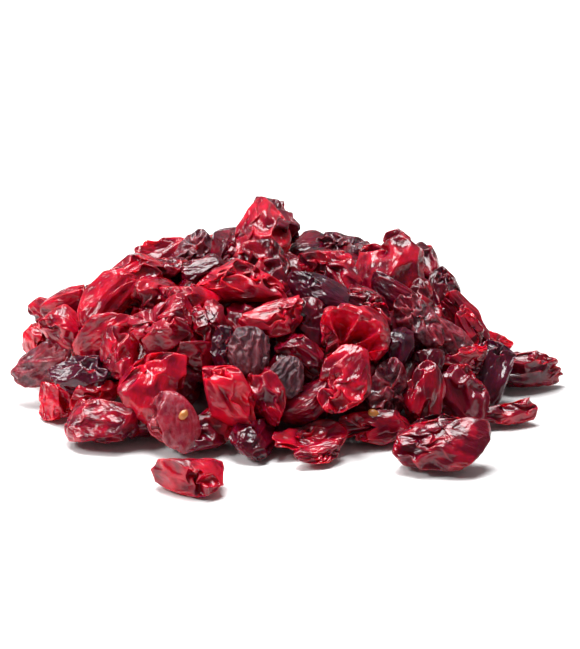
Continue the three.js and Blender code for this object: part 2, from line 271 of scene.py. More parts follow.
def balls(levels):
    """Ever finer balls of triangles. Each keeps the points of the one before and adds one to each edge."""
    gold = (1 + 5**0.5) / 2
    corners = [(-1, gold, 0), (1, gold, 0), (-1, -gold, 0), (1, -gold, 0)]
    corners += [(0, -1, gold), (0, 1, gold), (0, -1, -gold), (0, 1, -gold)]
    corners += [(gold, 0, -1), (gold, 0, 1), (-gold, 0, -1), (-gold, 0, 1)]
    faces = [(0, 11, 5), (0, 5, 1), (0, 1, 7), (0, 7, 10), (0, 10, 11), (1, 5, 9), (5, 11, 4)]
    faces += [(11, 10, 2), (10, 7, 6), (7, 1, 8), (3, 9, 4), (3, 4, 2), (3, 2, 6), (3, 6, 8)]
    faces += [(3, 8, 9), (4, 9, 5), (2, 4, 11), (6, 2, 10), (8, 6, 7), (9, 8, 1)]
    points = np.array(corners) / math.hypot(1, gold)
    faces = np.array(faces)
    made = [(points, faces, None)]
    for _ in range(levels):
        edges = np.concatenate([faces[:, [0, 1]], faces[:, [1, 2]], faces[:, [2, 0]]])
        ends, which = np.unique(np.sort(edges, axis=1), axis=0, return_inverse=True)
        middles = points[ends].mean(1)
        middles /= np.linalg.norm(middles, axis=1)[:, None]
        first, second, third = len(points) + which.reshape(3, -1)
        points = np.vstack([points, middles])
        a, b, c = faces.T
        quarters = [(a, first, third), (b, second, first), (c, third, second), (first, second, third)]
        faces = np.vstack([np.stack(quarter, axis=1) for quarter in quarters])
        made.append((points, faces, ends))
    return made


def neighbours(faces):
    """The six points round each point; where there are only five, the last one counts twice."""
    edges = np.concatenate([faces[:, [0, 1]], faces[:, [1, 2]], faces[:, [2, 0]]])
    edges = np.unique(np.concatenate([edges, edges[:, ::-1]]), axis=0)
    count = np.bincount(edges[:, 0])
    start = np.concatenate([[0], np.cumsum(count)[:-1]])
    return np.stack([edges[start + np.minimum(k, count - 1), 1] for k in range(6)], axis=1)


BALLS = balls(5)
AROUND = [neighbours(faces) for _, faces, _ in BALLS]


def settle_skin(place, uncreased, around, target, steps, skin, bend, hold):
    """Lets the skin find its folds: it keeps its own size while the flesh draws it to the target."""
    length = np.linalg.norm(uncreased[around] - uncreased[:, None], axis=2)
    start = place.copy()
    speed = np.zeros_like(place)
    for step in range(steps):
        dried = min(1, (step + 1) / (FLESH_STILL * steps))
        goal = start + (target - start) * dried
        arms = place[around] - place[:, None]
        now = np.linalg.norm(arms, axis=2) + 1e-9
        pull = (arms * (1 - length / now)[..., None]).sum(1)
        middle = arms.mean(1)
        unbend = middle - middle[around].mean(1)
        force = skin * pull + bend * unbend + hold * (goal - place)
        speed = SWING_KEPT * speed + STEP_LENGTH * force
        place = place + speed
    return place


def shrivel(
    seed,
    shape=(1, 0.8, 0.7),
    dents=3,
    dent_depth=(0.25, 0.5),
    hollows=(),
    uneven=0.12,
    girth=0.85,
    skin=0.35,
    hold=(0.008, 0.006, 0.004),
    drying=EVEN_DRYING,
    stiffness=STIFFNESS,
):
    """Dries one berry in three turns, each with a finer skin. Returns the places of its points."""
    rng = np.random.default_rng(seed)
    ball = BALLS[drying[0][0]][0]
    place = ball * shape
    flesh = 1 + uneven * swell(rng, ball, 2.2)
    dented = [(unit(rng.normal(size=3)), rng.uniform(*dent_depth)) for _ in range(dents)]
    for way, depth in [*dented, *hollows]:
        flesh -= depth * np.clip((ball @ np.array(way) - 0.45) / 0.55, 0, 1) ** 1.5
    across = girth ** (1 / 3)
    target = place * flesh[:, None]
    for (level, shrink, steps), bend, flesh_hold in zip(drying, stiffness, hold):
        ball, _, ends = BALLS[level]
        if len(place) < len(ball):
            place = np.vstack([place, place[ends].mean(1)])
            target = place
        target = target * np.array([1, across, across]) * shrink
        jitter = 0.003 * rng.normal(size=place.shape)
        held = flesh_hold * np.clip(1 + 0.5 * swell(rng, ball, 2.0), 0.3, 2)[:, None]
        place = settle_skin(place + jitter, ball * shape, AROUND[level], target, steps, skin, bend, held)
    return place


def creases(place, faces):
    """How deep each point lies in a crease: above 0 in a furrow and below 0 on a ridge."""
    around = AROUND[-1]
    corner = place[faces]
    flat = np.cross(corner[:, 1] - corner[:, 0], corner[:, 2] - corner[:, 0])
    normal = np.zeros_like(place)
    for k in range(3):
        np.add.at(normal, faces[:, k], flat)
    normal /= np.linalg.norm(normal, axis=1)[:, None] + 1e-12
    smoothed = place
    depth = np.zeros(len(place))
    for turn in range(CREASE_TURNS[-1] + 1):
        smoothed = smoothed[around].mean(1)
        if turn in CREASE_TURNS:
            depth += ((smoothed - place) * normal).sum(1)
    return depth / (2 * depth.std())


dried_berries = {}


def dried_berry(kind):
    """A dried berry at four finenesses: (places, faces, points of the fresh ball, creases) for each."""
    if kind not in dried_berries:
        place = shrivel(**DRIED[kind])
        ball, faces, _ = BALLS[-1]
        depth = creases(place, faces)
        rounds = {"rough": (BALLS[3], len(BALLS[3][0])), "plain": (BALLS[4], len(BALLS[4][0]))}
        made = {}
        for fineness, (level, count) in rounds.items():
            made[fineness] = (place[:count], level[1], ball[:count], depth[:count])
        made["fine"] = thinned(place, faces, ball, depth)
        made["full"] = (place, faces, ball, depth)
        dried_berries[kind] = made
    return dried_berries[kind]


def thinned(place, faces, ball, depth):
    """The finest mesh with fewer faces where it is smooth."""
    mesh = bpy.data.meshes.new("thinned")
    mesh.from_pydata(place.tolist(), [], faces.tolist())
    body = bpy.data.objects.new("thinned", mesh)
    bpy.context.scene.collection.objects.link(body)
    fewer = body.modifiers.new("fewer", "DECIMATE")
    fewer.ratio = FINE_SHARE
    fewer.use_collapse_triangulate = True
    kept = body.evaluated_get(bpy.context.evaluated_depsgraph_get()).to_mesh()
    count = len(kept.vertices)
    left = np.empty(3 * count)
    kept.vertices.foreach_get("co", left)
    left = left.reshape(-1, 3)
    corners = np.empty(3 * len(kept.polygons), int)
    kept.polygons.foreach_get("vertices", corners)
    tree = KDTree(len(place))
    for i, point in enumerate(place):
        tree.insert(point, i)
    tree.balance()
    nearest = np.array([tree.find(point)[1] for point in left])
    bpy.data.objects.remove(body)
    bpy.data.meshes.remove(mesh)
    return left, corners.reshape(-1, 3), ball[nearest], depth[nearest]


# What was done to the round berry, where x runs along it and z comes out of its face. All are for
# places between -1 and 1.
def whole(p):
    """Left as it dried."""
    return p


def half(p):
    """Cut along, with its cut face sunk to a bowl."""
    out = p[:, 0] ** 2 + p[:, 1] ** 2
    sunk = 0.5 * p[:, 2] - 0.55 * np.maximum(0, 1 - out)
    return np.column_stack([p[:, :2], np.where(p[:, 2] > 0, sunk, p[:, 2])])


def star(p):
    """Cut across and opened wide, with a rolled rim and the walls between its hollows as rays."""
    out = 0.85 * np.hypot(p[:, 0] + 0.25, p[:, 1] + 0.42)
    turn = np.arctan2(p[:, 1] + 0.42, p[:, 0] + 0.25)
    rays = 1 - 2 * np.abs(np.sin(4.5 * turn + 0.8 * np.sin(2 * turn)))
    sunk = 0.5 * p[:, 2] - 0.75 * np.maximum(0, 1 - out**2) + 1.3 * rays * out * np.maximum(0, 1 - out)
    rim = 0.4 * np.exp(-(((out - 0.85) / 0.2) ** 2))
    return np.column_stack([p[:, :2], np.where(p[:, 2] > 0, sunk + rim, p[:, 2])])


def disc(p):
    """Pressed flat."""
    return p * (1, 1, 0.6)


def curl(p):
    """Opened as a leaf, with its long sides curled back."""
    return np.column_stack([p[:, :2], 0.62 * p[:, 2] - 0.5 * p[:, 1] ** 2 + 0.2 * p[:, 0] ** 2])


def sliver(p):
    """Torn off, with its tips turned up."""
    return np.column_stack([p[:, :2], 0.7 * p[:, 2] + 0.5 * p[:, 0] ** 2])


def half_height(half_size, axes):
    return np.linalg.norm(half_size * axes[:, 2])


def where_seen(across, rise, ground):
    """Where the line of sight meets the dome, or passes nearest to it on its way to the ground."""
    aim = EYE_AIM + across * np.array([1, 0, 0]) + rise * upward
    sight = unit(aim - eye)
    at = eye + (EYE_AWAY - 2 * DOME_BACK) * sight
    place = at
    while dome_level(place) > 1 and at[1] < DOME_BACK and at[2] > ground:
        at = at + SIGHT_STEP * sight
        if dome_level(at) < dome_level(place):
            place = at
    return place, sight


def seen_berry(across, rise, long, wide, lean, form, nearer, kind, roll, shade=0.0, up=FACE_UP):
    """Lays a berry where the picture shows it. Its face looks partly at the eye and partly straight
    out of the heap, or up if it lies on the ground, and its long way leans as it is seen."""
    angle = math.radians(lean)
    along = math.cos(angle) * np.array([1, 0, 0]) + math.sin(angle) * upward
    low = 0.5 * SETTLE * THICKNESS * wide
    place, sight = where_seen(across, rise, low)
    on_ground = place[2] < low + SIGHT_STEP
    out = np.array([0, 0, up]) if on_ground else FACE_OUT * dome_normal(place[0], place[1])
    face = unit(out - sight)
    along = along - sight * (along @ face) / (sight @ face)
    made = min(FORESHORTENED, (1 + np.linalg.norm(along)) / 2)
    half_size = np.array([made * long, wide, THICKNESS * wide]) / 2
    along = unit(along)
    axes = np.array([along, np.cross(face, along), face])
    ground = SETTLE * half_height(half_size, axes)
    if on_ground:
        place, _ = where_seen(across, rise, ground)
    place = place - nearer * sight
    place[2] = max(place[2], ground)
    fineness = "full" if form is star else "fine"
    return dict(
        place=place, axes=axes, half_size=half_size, form=form,
        kind=kind, roll=roll, shade=shade, fineness=fineness,
    )


laid = []


def lay(rows):
    """Lays berries from rows of: across and rise in the picture, length, width, lean, form, how much
    nearer to the eye, kind, roll, and perhaps shade and how far it faces up."""
    berries = [seen_berry(*row) for row in rows]
    laid.extend(berries)
    return berries


def berries_mesh(berries, rng):
    """One mesh of all the berries, with each one's skin place, creases, and own tone with any painted glow
    kept on its points.
    """
    places, faces, skins, depths, tones_and_glows, maps = [], [], [], [], [], []
    first = 0
    cells = math.ceil(math.sqrt(2 * len(berries)))
    for number, berry in enumerate(berries):
        p, f, ball, depth = dried_berry(berry["kind"])[berry["fineness"]]
        turn = math.radians(berry["roll"])
        y = p[:, 1] * math.cos(turn) - p[:, 2] * math.sin(turn)
        z = p[:, 1] * math.sin(turn) + p[:, 2] * math.cos(turn)
        p = np.column_stack([p[:, 0], y, z])
        middle = (p.max(0) + p.min(0)) / 2
        p = (p - middle) / ((p.max(0) - p.min(0)) / 2)
        if berry["form"] is whole:
            p = pressed(p, rng)
        bent, tapered, swung = rng.uniform(-BENT, BENT, 3)
        p[:, 1:] *= 1 + tapered * p[:, :1]
        p[:, 2] += bent * (p[:, 0] ** 2 - 0.3)
        p[:, 1] += swung * (p[:, 0] ** 2 - 0.3)
        # Painted glow: the middle of a star's cut face gets a brighter red, as if lit through.
        face_middle = np.clip(1 - np.hypot(p[:, 0], p[:, 1]), 0, 1) * (p[:, 2] > 0)
        painted_glow = 0.5 * face_middle * (berry["form"] is star)
        p = berry["form"](p) * berry["half_size"]
        skins.append(p + rng.uniform(-GRAIN_APART, GRAIN_APART, 3))
        p = berry["place"] + p @ berry["axes"]
        low = p[:, 2] < FLOOR_SOFT
        p[low, 2] = FLOOR_SOFT * np.exp((p[low, 2] - FLOOR_SOFT) / FLOOR_SOFT)
        places.append(p)
        faces.append(f + first)
        depths.append(depth)
        tones_and_glows.append(berry["shade"] + rng.uniform(-SHADE_VARIES, SHADE_VARIES) + painted_glow)
        maps.append(skin_map(ball, f, 2 * number, cells))
        first += len(p)
    return [np.concatenate(part) for part in (places, faces, skins, depths, tones_and_glows, maps)]


def pressed(p, rng):
    """The flats that a berry's neighbours pressed into it, on p between -1 and 1."""
    for _ in range(PRESSED_SIDES):
        way = unit(rng.normal(size=3))
        over = np.maximum(0, p @ way - rng.uniform(*PRESSED_FROM))
        p = p - (1 - PRESSED_LEFT) * over[:, None] * way
    middle = (p.max(0) + p.min(0)) / 2
    return (p - middle) / ((p.max(0) - p.min(0)) / 2)


def skin_map(ball, faces, cell, cells):
    """Where each face corner lies on the flat picture of the skins: each half of a berry is a disc."""
    right = ball[faces].mean(1)[:, 0] > 0
    corners = ball[faces]
    side = np.where(right, 1, -1)[:, None]
    tip = np.clip(corners[..., 0] * side, -1, 1)
    out = np.sqrt(np.maximum(0, (1 - tip) / 1.05)) / 2
    ring = np.hypot(corners[..., 1], corners[..., 2]) + 1e-9
    u = 0.5 + 0.94 * out * corners[..., 1] / ring * side
    v = 0.5 + 0.94 * out * corners[..., 2] / ring
    box = cell + np.where(right, 0, 1)[:, None]
    return np.stack([(box % cells + u) / cells, (box // cells + v) / cells], axis=2)


def berry_piece(name, berries, skin, seed):
    places, faces, skins, depths, tones_and_glows, maps = berries_mesh(berries, np.random.default_rng(seed))
    piece = heap_piece(name, places, faces, skin)
    mesh = piece.data
    mesh.attributes.new("skin_place", "FLOAT_VECTOR", "POINT").data.foreach_set("vector", skins.ravel())
    mesh.attributes.new("crease", "FLOAT", "POINT").data.foreach_set("value", depths)
    # The shade attribute holds each berry's own tone, with the painted glow of a star's middle added.
    mesh.attributes.new("shade", "FLOAT", "POINT").data.foreach_set("value", tones_and_glows)
    mesh.uv_layers.new(name="OFBake").uv.foreach_set("vector", maps.ravel())
    return piece


def berry_skin(name, deep, bright, clear=0.7, gloss=(0.05, 0.2), dust_and_sheen=0.0):
    """Glossy skin: a deep red in its patches, with painted shade that darkens its creases and painted
    light that brightens its ridges. Light goes the clear distance into it, gloss is its smoothest and
    roughest place, and the last value is the share of a pink haze, partly dust and partly painted sheen."""
    skin = bpy.data.materials.new(name)
    skin.use_nodes = True
    nodes = skin.node_tree.nodes
    link = skin.node_tree.links.new
    shader = nodes["Principled BSDF"]
    shader.inputs["Specular IOR Level"].default_value = SKIN_SHINE
    shader.inputs["Subsurface Weight"].default_value = SKIN_GLOW
    shader.inputs["Subsurface Radius"].default_value = GLOW_REACH
    shader.inputs["Subsurface Scale"].default_value = clear * MM

    def attribute(which, output):
        node = nodes.new("ShaderNodeAttribute")
        node.attribute_name = which
        return node.outputs[output]

    def grain(scale, detail, stretch=(1, 1, 1)):
        place = nodes.new("ShaderNodeVectorMath")
        place.operation = "MULTIPLY"
        place.inputs[1].default_value = stretch
        link(attribute("skin_place", "Vector"), place.inputs[0])
        noise = nodes.new("ShaderNodeTexNoise")
        noise.inputs["Scale"].default_value = scale
        noise.inputs["Detail"].default_value = detail
        link(place.outputs[0], noise.inputs["Vector"])
        return noise.outputs["Fac"]

    def ranged(value, low, high, to_low, to_high):
        node = nodes.new("ShaderNodeMapRange")
        node.inputs["From Min"].default_value = low
        node.inputs["From Max"].default_value = high
        node.inputs["To Min"].default_value = to_low
        node.inputs["To Max"].default_value = to_high
        link(value, node.inputs["Value"])
        return node.outputs["Result"]

    def added(one, other):
        node = nodes.new("ShaderNodeMath")
        link(one, node.inputs[0])
        link(other, node.inputs[1])
        return node.outputs[0]

    # The red is mixed by random patches, by painted shade in the creases and painted light on the ridges,
    # and by each berry's own tone with any painted glow.
    patches = ranged(grain(0.3, 3), 0.38, 0.62, 0.0, 0.8)
    painted_crease_shading = ranged(attribute("crease", "Fac"), -1.5, 1.5, 0.15, -0.2)
    red = nodes.new("ShaderNodeMix")
    red.data_type = "RGBA"
    red.inputs["A"].default_value = (*deep, 1)
    red.inputs["B"].default_value = (*bright, 1)
    link(added(added(patches, painted_crease_shading), attribute("shade", "Fac")), red.inputs["Factor"])
    # The pink haze mixed over the red is partly dust and partly painted sheen.
    dust_and_sheen_mix = nodes.new("ShaderNodeMix")
    dust_and_sheen_mix.data_type = "RGBA"
    dust_and_sheen_mix.inputs["B"].default_value = DUST_AND_SHEEN_PINK
    link(red.outputs["Result"], dust_and_sheen_mix.inputs["A"])
    link(ranged(grain(1.1, 4), 0.45, 0.7, 0.0, dust_and_sheen), dust_and_sheen_mix.inputs["Factor"])
    link(dust_and_sheen_mix.outputs["Result"], shader.inputs["Base Color"])
    link(ranged(grain(0.7, 2), 0.35, 0.65, *gloss), shader.inputs["Roughness"])

    def wrinkled(depth, scale, detail, over=None):
        wrinkles = nodes.new("ShaderNodeBump")
        wrinkles.inputs["Strength"].default_value = 1
        wrinkles.inputs["Distance"].default_value = depth * MM
        link(grain(scale, detail, ALONG_BERRY), wrinkles.inputs["Height"])
        if over:
            link(over, wrinkles.inputs["Normal"])
        return wrinkles.outputs["Normal"]

    folds = wrinkled(SKIN_FOLD, 0.9, 1.5)
    link(wrinkled(FINE_FOLD, 3.2, 2, folds), shader.inputs["Normal"])
    return skin


SCARLET = [
    (-38.2, 3.2, 8.6, 7.2, 25, whole, 0, "crooked", 40, -0.1),
    (-38.6, -0.4, 8.4, 7.2, -20, whole, 1, "folded", 200, -0.15),
    (-43.0, -2.6, 7.6, 5.8, 60, whole, 0, "narrow", 100, 0.2),
    (-31.6, -1.2, 12.6, 6.8, 25, whole, 0, "furrowed", 30, 0.15),
    (-17.0, 4.4, 11.0, 6.4, 4, whole, 0, "angular", 120),
    (-8.0, 7.4, 15.6, 8.2, -5, whole, 2, "folded", 0),
    (9.6, -9.6, 12.2, 9.0, 75, whole, 2, "crumpled", 90, -0.1),
    (-39.4, -13.2, 7.8, 7.2, 20, whole, 0, "folded", 90, 0.3),
    (-33.0, -11.6, 9.2, 5.8, 12, whole, 0, "faceted", 300, 0.35),
    (-23.4, -10.6, 12.8, 11.0, 75, whole, 1, "faceted", 0),
    (-10.5, -12.2, 13.0, 8.4, -52, whole, 2, "sunken", 60, 0.15),
    (30.2, -1.2, 9.2, 5.4, -60, whole, 0, "narrow", 0, -0.1),
]
scarlet_berries = lay(SCARLET)
scarlet_skin = berry_skin("scarlet_skin", (0.20, 0.0015, 0.014), (0.70, 0.006, 0.032))
berry_piece("cranberries_scarlet", scarlet_berries, scarlet_skin, 11)

# The crimson berries, which are most of the heap: the same fruit, riper and a shade deeper. One
# stands on the crest and three have rolled off in front and at the right, and lie loose.
CRIMSON = [
    (-4.6, 15.0, 11.6, 10.0, 80, whole, 8, "crumpled", 90, 0.15),
    (16.8, 9.2, 13.2, 12.6, 75, whole, 1, "faceted", 120),
    (-26.6, 8.2, 12.0, 9.6, 35, whole, 0, "folded", 140, 0.1),
    (-31.4, 4.0, 12.0, 7.6, 42, whole, 1, "furrowed", 0, 0.35),
    (-41.7, 1.8, 6.4, 5.8, 0, whole, 0, "crooked", 0),
    (-13.8, 0.2, 8.4, 6.4, -70, whole, -1, "narrow", 0),
    (-2.9, 0.8, 11.4, 6.8, 12, whole, 1, "cornered", 0, 0.45),
    (8.0, 9.0, 11.4, 7.4, -42, whole, 1, "crumpled", 200),
    (-28.8, -4.8, 10.0, 7.6, 110, whole, 0, "gathered", 0, 0.2),
    (-32.2, -16.8, 12.4, 9.6, -8, whole, 1, "crumpled", 100, -0.15),
    (-16.6, -24.9, 11.4, 8.6, -16, whole, 0, "faceted", 240, 0.15),
    (-4.2, -12.4, 10.4, 7.6, -60, whole, 1, "cornered", 150),
    (-13.4, -18.2, 8.8, 7.2, 60, whole, -1, "raisin", 60),
    (14.4, -17.8, 12.8, 6.2, 6, whole, 0, "sunken", 90, -0.15),
    (29.4, -6.6, 9.2, 5.6, 12, whole, 0, "cornered", 40),
    (36.7, -15.2, 10.4, 5.4, 6, whole, 0, "gathered", 0, -0.15),
    (25.8, -20.9, 15.4, 10.0, -5, whole, 0, "crumpled", 180, -0.3),
    (22.4, -12.6, 13.0, 7.4, 84, whole, 1, "sunken", 0, -0.1),
]
crimson_berries = lay(CRIMSON)
crimson_skin = berry_skin("crimson_skin", (0.12, 0.001, 0.011), (0.56, 0.005, 0.028))
berry_piece("cranberries_crimson", crimson_berries, crimson_skin, 12)

# The garnet berries, of deeper red: they dried longer, so less light comes through their flesh. They
# lie among the others, held by their sticky skins.
GARNET = [
    (-10.5, 12.6, 9.8, 7.4, 70, whole, 0, "gathered", 90, -0.4),
    (23.2, 8.9, 10.6, 8.2, -60, whole, 0, "crumpled", 60),
    (-21.6, -0.6, 11.4, 10.2, 10, whole, 1, "pinched", 90, 0.35),
    (-14.2, 8.6, 8.6, 6.2, 10, whole, 2, "crumpled", 20, -0.6),
    (-17.2, -5.8, 8.2, 6.2, 0, whole, -1, "angular", 30, 0.3),
    (1.8, -4.8, 9.8, 6.0, -45, whole, 0, "crumpled", 0, 0.15),
    (-25.2, -17.0, 8.6, 7.0, 30, whole, -1, "puckered", 50),
    (3.6, -12.6, 12.6, 6.2, 38, whole, 0, "furrowed", 90),
    (23.2, -6.4, 6.0, 5.2, 60, whole, 0, "puckered", 120, -0.7),
    (29.8, 0.9, 10.8, 5.4, -46, whole, 0, "narrow", 60),
    (39.0, -7.6, 14.6, 9.2, -6, whole, 0, "cornered", 270),
]
garnet_berries = lay(GARNET)
garnet_skin = berry_skin("garnet_skin", (0.075, 0.001, 0.009), (0.34, 0.004, 0.022))
berry_piece("cranberries_garnet", garnet_berries, garnet_skin, 13)

# The maroon berries, ripe and thick, so that hardly any light comes through them. They fill the
# hollows between the brighter ones, most of them on the crest and at the foot.
MAROON = [
    (-2.4, 17.4, 9.4, 8.2, 100, whole, 4, "crumpled", 0),
    (3.4, 12.8, 9.2, 7.4, 20, whole, -2, "puckered", 90),
    (25.8, 5.4, 8.6, 6.0, 75, whole, 3, "folded", 0, -0.3),
    (4.2, 0.2, 8.2, 6.2, 80, whole, -2, "gathered", 0),
    (17.8, 5.2, 10.2, 6.0, -30, whole, 0, "furrowed", 60),
    (-6.1, -19.0, 8.8, 7.8, 70, whole, 0, "raisin", 90),
    (28.8, -13.2, 11.4, 8.8, -68, whole, 0, "crumpled", 60, 1.0),
    (25.0, -18.2, 9.4, 7.0, 10, whole, -1, "cornered", 0, -0.3),
    (-15.6, -19.4, 9.0, 7.6, 0, whole, -1, "angular", 0, 0.3),
]
maroon_berries = lay(MAROON)
maroon_skin = berry_skin("maroon_skin", (0.05, 0.001, 0.009), (0.19, 0.003, 0.018))
berry_piece("cranberries_maroon", maroon_berries, maroon_skin, 14)

# The darkest berries, nearly black, with a bluish shine. They were the ripest fruit, and their thick
# skin dried hard in sharp folds.
BLACK = [
    (5.2, 5.2, 12.8, 7.2, -18, whole, 0, "puckered", 180, 0.1),
    (18.0, -3.8, 8.2, 6.2, 70, whole, -1, "gathered", 200, 0.15),
    (-35.2, -8.6, 11.2, 6.8, 5, whole, 1, "narrow", 90, 0.3),
    (34.0, -8.4, 12.0, 8.2, 80, whole, 1, "faceted", 30, 0.3),
    (-10.9, -4.4, 8.6, 5.4, 100, whole, 0, "cornered", 90, 0.3),
]
black_berries = lay(BLACK)
black_skin = berry_skin("black_skin", (0.028, 0.001, 0.009), (0.09, 0.003, 0.018), clear=0.5)
berry_piece("cranberries_black", black_berries, black_skin, 15)

# The flat berries, pressed to coins while they dried, so that skin lies on skin with hardly any
# flesh between. Their skin is dull, as no syrup came out of it, under a pink haze that is partly
# dust and partly painted sheen.
FLAT = [
    (-6.9, -4.6, 8.8, 7.6, -65, disc, 1, "coin", 0, 0.1),
    (-0.5, -8.9, 7.2, 6.4, 60, disc, 1, "coin", 180, -0.35),
]
flat_berries = lay(FLAT)
flat_skin = berry_skin(
    "flat_skin", (0.05, 0.006, 0.015), (0.15, 0.020, 0.036), gloss=(0.3, 0.55), clear=0.6, dust_and_sheen=0.15
)
berry_piece("cranberries_flat", flat_berries, flat_skin, 16)

# The opened berries: the skin tore along one side and dried as a leaf with its sides curled back.
# Their inner side is dry flesh, duller and pinker than skin, under a pink haze that is partly dust
# and partly painted sheen. One stands on its edge at the foot.
OPENED = [
    (-16.4, 12.2, 8.8, 7.2, 70, curl, 0, "leaf", 0, -0.3),
    (9.6, 12.8, 11.0, 8.0, -12, curl, 0, "leaf", 0, -0.6),
    (16.6, -10.8, 10.2, 7.6, 80, curl, 0, "leaf", 0),
    (-41.6, -6.2, 12.6, 7.6, 32, curl, 0, "leaf", 180, 0.15),
    (-20.0, -16.8, 11.0, 8.6, -75, disc, 4.5, "rag", 0, 0.6, 0.4),
    (22.2, 0.6, 11.0, 7.0, -48, curl, 1, "leaf", 0, -0.1),
    (27.2, -2.8, 10.2, 7.4, -35, curl, 0, "leaf", 180, 0),
]
opened_berries = lay(OPENED)
opened_skin = berry_skin(
    "opened_skin", (0.065, 0.003, 0.013), (0.32, 0.014, 0.036), gloss=(0.1, 0.35), dust_and_sheen=0.3
)
berry_piece("cranberries_opened", opened_berries, opened_skin, 17)

# The berries cut across before they dried. The cut face has sunk inside its rolled rim: in the
# widest one to a star of flesh walls, in the others to a bowl. Light comes far into the bare flesh,
# and the middle of the star is painted a brighter red as a painted glow.
CUT = [
    (11.0, -1.8, 12.0, 10.6, -15, star, 2, "crumpled", 0, -0.05),
    (3.4, -19.0, 12.6, 7.6, 4, half, 1, "gathered", 0, -0.25, 2.5),
    (-21.2, 12.0, 9.8, 7.8, 15, half, 1, "crumpled", 0, -0.3),
]
cut_berries = lay(CUT)
cut_skin = berry_skin("cut_skin", (0.20, 0.0015, 0.014), (0.75, 0.007, 0.034), clear=1.0)
berry_piece("cranberries_cut", cut_berries, cut_skin, 18)

# Torn strips of skin without flesh, thin enough to let the light through. One lies on the table in
# front of the heap, and one hangs over a dark berry at the right.
TORN = [
    (5.0, -22.0, 8.8, 5.0, 14, sliver, 0, "rag", 0, -0.35),
    (34.2, -3.0, 7.6, 4.0, -10, sliver, 4, "leaf", 0, 0.2),
]
torn_skins = lay(TORN)
berry_piece("cranberry_skins", torn_skins, scarlet_skin, 19)

# The berries at the back, on the top and in the gaps, laid one after another wherever there is room
# on the heap, as they come to rest. They are the same fruit in all its reds, and a few are open or
# flat. Those that would show above the crest of the heap lie lower.
RULE_SEED = 41
RULE_TRIES = 16000
RULE_LONG = (11, 14.5)
RULE_SLIM = (0.68, 0.9)
RULE_ROOM = 0.29
GAP_ROOM = 0.3
GAP_BACK = 12
RULE_TILT = 0.45
RULE_SPREAD = 0.97
GAP_SINK = 1.4
RULE_FORMS = (whole, whole, whole, curl, disc)
RULE_SHADES = (-0.45, 0.5)
CREST_REACH = 0.9
CREST_PLACES = (-0.6, 0, 0.6)

# The crest of the heap as it is seen, from left to right: across and rise from the middle of the heap.
CREST = [
    (-45, -3), (-43, 3), (-35, 6), (-31, 8.5), (-27, 10.5), (-23, 13.5), (-20, 14.7), (-10, 14.7), (2, 16),
    (14, 15.7), (20, 15.2), (24, 12.3), (26, 8), (30, 2.5), (34, -3.5), (37, -5), (46, -6.5),
]


def draws_from(seed):
    """Numbers between 0 and 1, the same on every run."""
    state = seed
    while True:
        state = (state * 1664525 + 1013904223) % 4294967296
        yield state / 4294967296


def between(draw, bounds):
    low, high = bounds
    return low + (high - low) * next(draw)


def direction_from(draw):
    up = 2 * next(draw) - 1
    turn = 2 * math.pi * next(draw)
    out = math.sqrt(1 - up * up)
    return np.array([out * math.cos(turn), out * math.sin(turn), up])


def spot_on_dome(draw, spread):
    out = spread * math.sin(math.pi / 2 * math.sqrt(next(draw)))
    turn = 2 * math.pi * next(draw)
    x = out * math.cos(turn)
    y = out * math.sin(turn)
    return x * (DOME_LEFT if x < 0 else DOME_RIGHT), y * (DOME_FRONT if y < 0 else DOME_BACK)


def rule_berry(x, y, laid, draw):
    """A berry laid on the dome at x, y, if there is room between those that lie there already."""
    long = between(draw, RULE_LONG)
    wide = long * between(draw, RULE_SLIM)
    half_size = np.array([long, wide, THICKNESS * wide]) / 2
    out = dome_normal(x, y)
    tilted = unit(out + RULE_TILT * direction_from(draw))
    along = unit(np.cross(direction_from(draw), tilted))
    axes = np.array([along, np.cross(tilted, along), tilted])
    ground = SETTLE * half_height(half_size, axes)
    place = np.array([x, y, dome_height(x, y)])
    in_gap = y < GAP_BACK
    place -= ((GAP_SINK if in_gap else 0) + SHOULDER_SINK * shoulder(x, y)) * out
    place[2] = max(place[2], ground)
    share = GAP_ROOM if in_gap else RULE_ROOM
    for other in laid:
        room = share * (long + 2 * other["half_size"][0])
        if np.linalg.norm(other["place"] - place) < room:
            return None
    form = RULE_FORMS[math.floor(len(RULE_FORMS) * next(draw))]
    return dict(place=place, axes=axes, half_size=half_size, form=form, fineness="plain")


def below_crest(berry):
    """How far a berry has to go down so that it doesn't show above the crest."""
    place = berry["place"]
    ways = (np.array([1, 0, 0]), upward)
    reach = [CREST_REACH * np.linalg.norm(berry["half_size"] * (berry["axes"] @ way)) for way in ways]
    nearness = EYE_AWAY / ((place - eye) @ ahead)
    top = ((place - EYE_AIM) @ upward + reach[1]) * nearness
    places = [(place[0] + share * reach[0]) * nearness for share in CREST_PLACES]
    crest = np.interp(places, *zip(*CREST))
    return max(0, top - crest.min()) / upward[2]


draw = draws_from(RULE_SEED)
rng = np.random.default_rng(20)
WHOLE_KINDS = [kind for kind in DRIED if kind not in ("coin", "leaf", "rag")]
back_berries = []
for _ in range(RULE_TRIES):
    x, y = spot_on_dome(draw, RULE_SPREAD)
    berry = rule_berry(x, y, laid, draw)
    if berry:
        kind = rng.choice(WHOLE_KINDS)
        if berry["form"] is not whole:
            kind = "coin" if berry["form"] is disc else "leaf"
        berry.update(kind=kind, roll=rng.uniform(0, 360) if berry["form"] is whole else 0)
        berry["shade"] = rng.uniform(*RULE_SHADES)
        laid.append(berry)
        back_berries.append({**berry, "place": berry["place"] - (0, 0, below_crest(berry))})
back_skin = berry_skin("back_skin", (0.085, 0.001, 0.009), (0.46, 0.005, 0.024))
berry_piece("cranberries_back", back_berries, back_skin, 21)

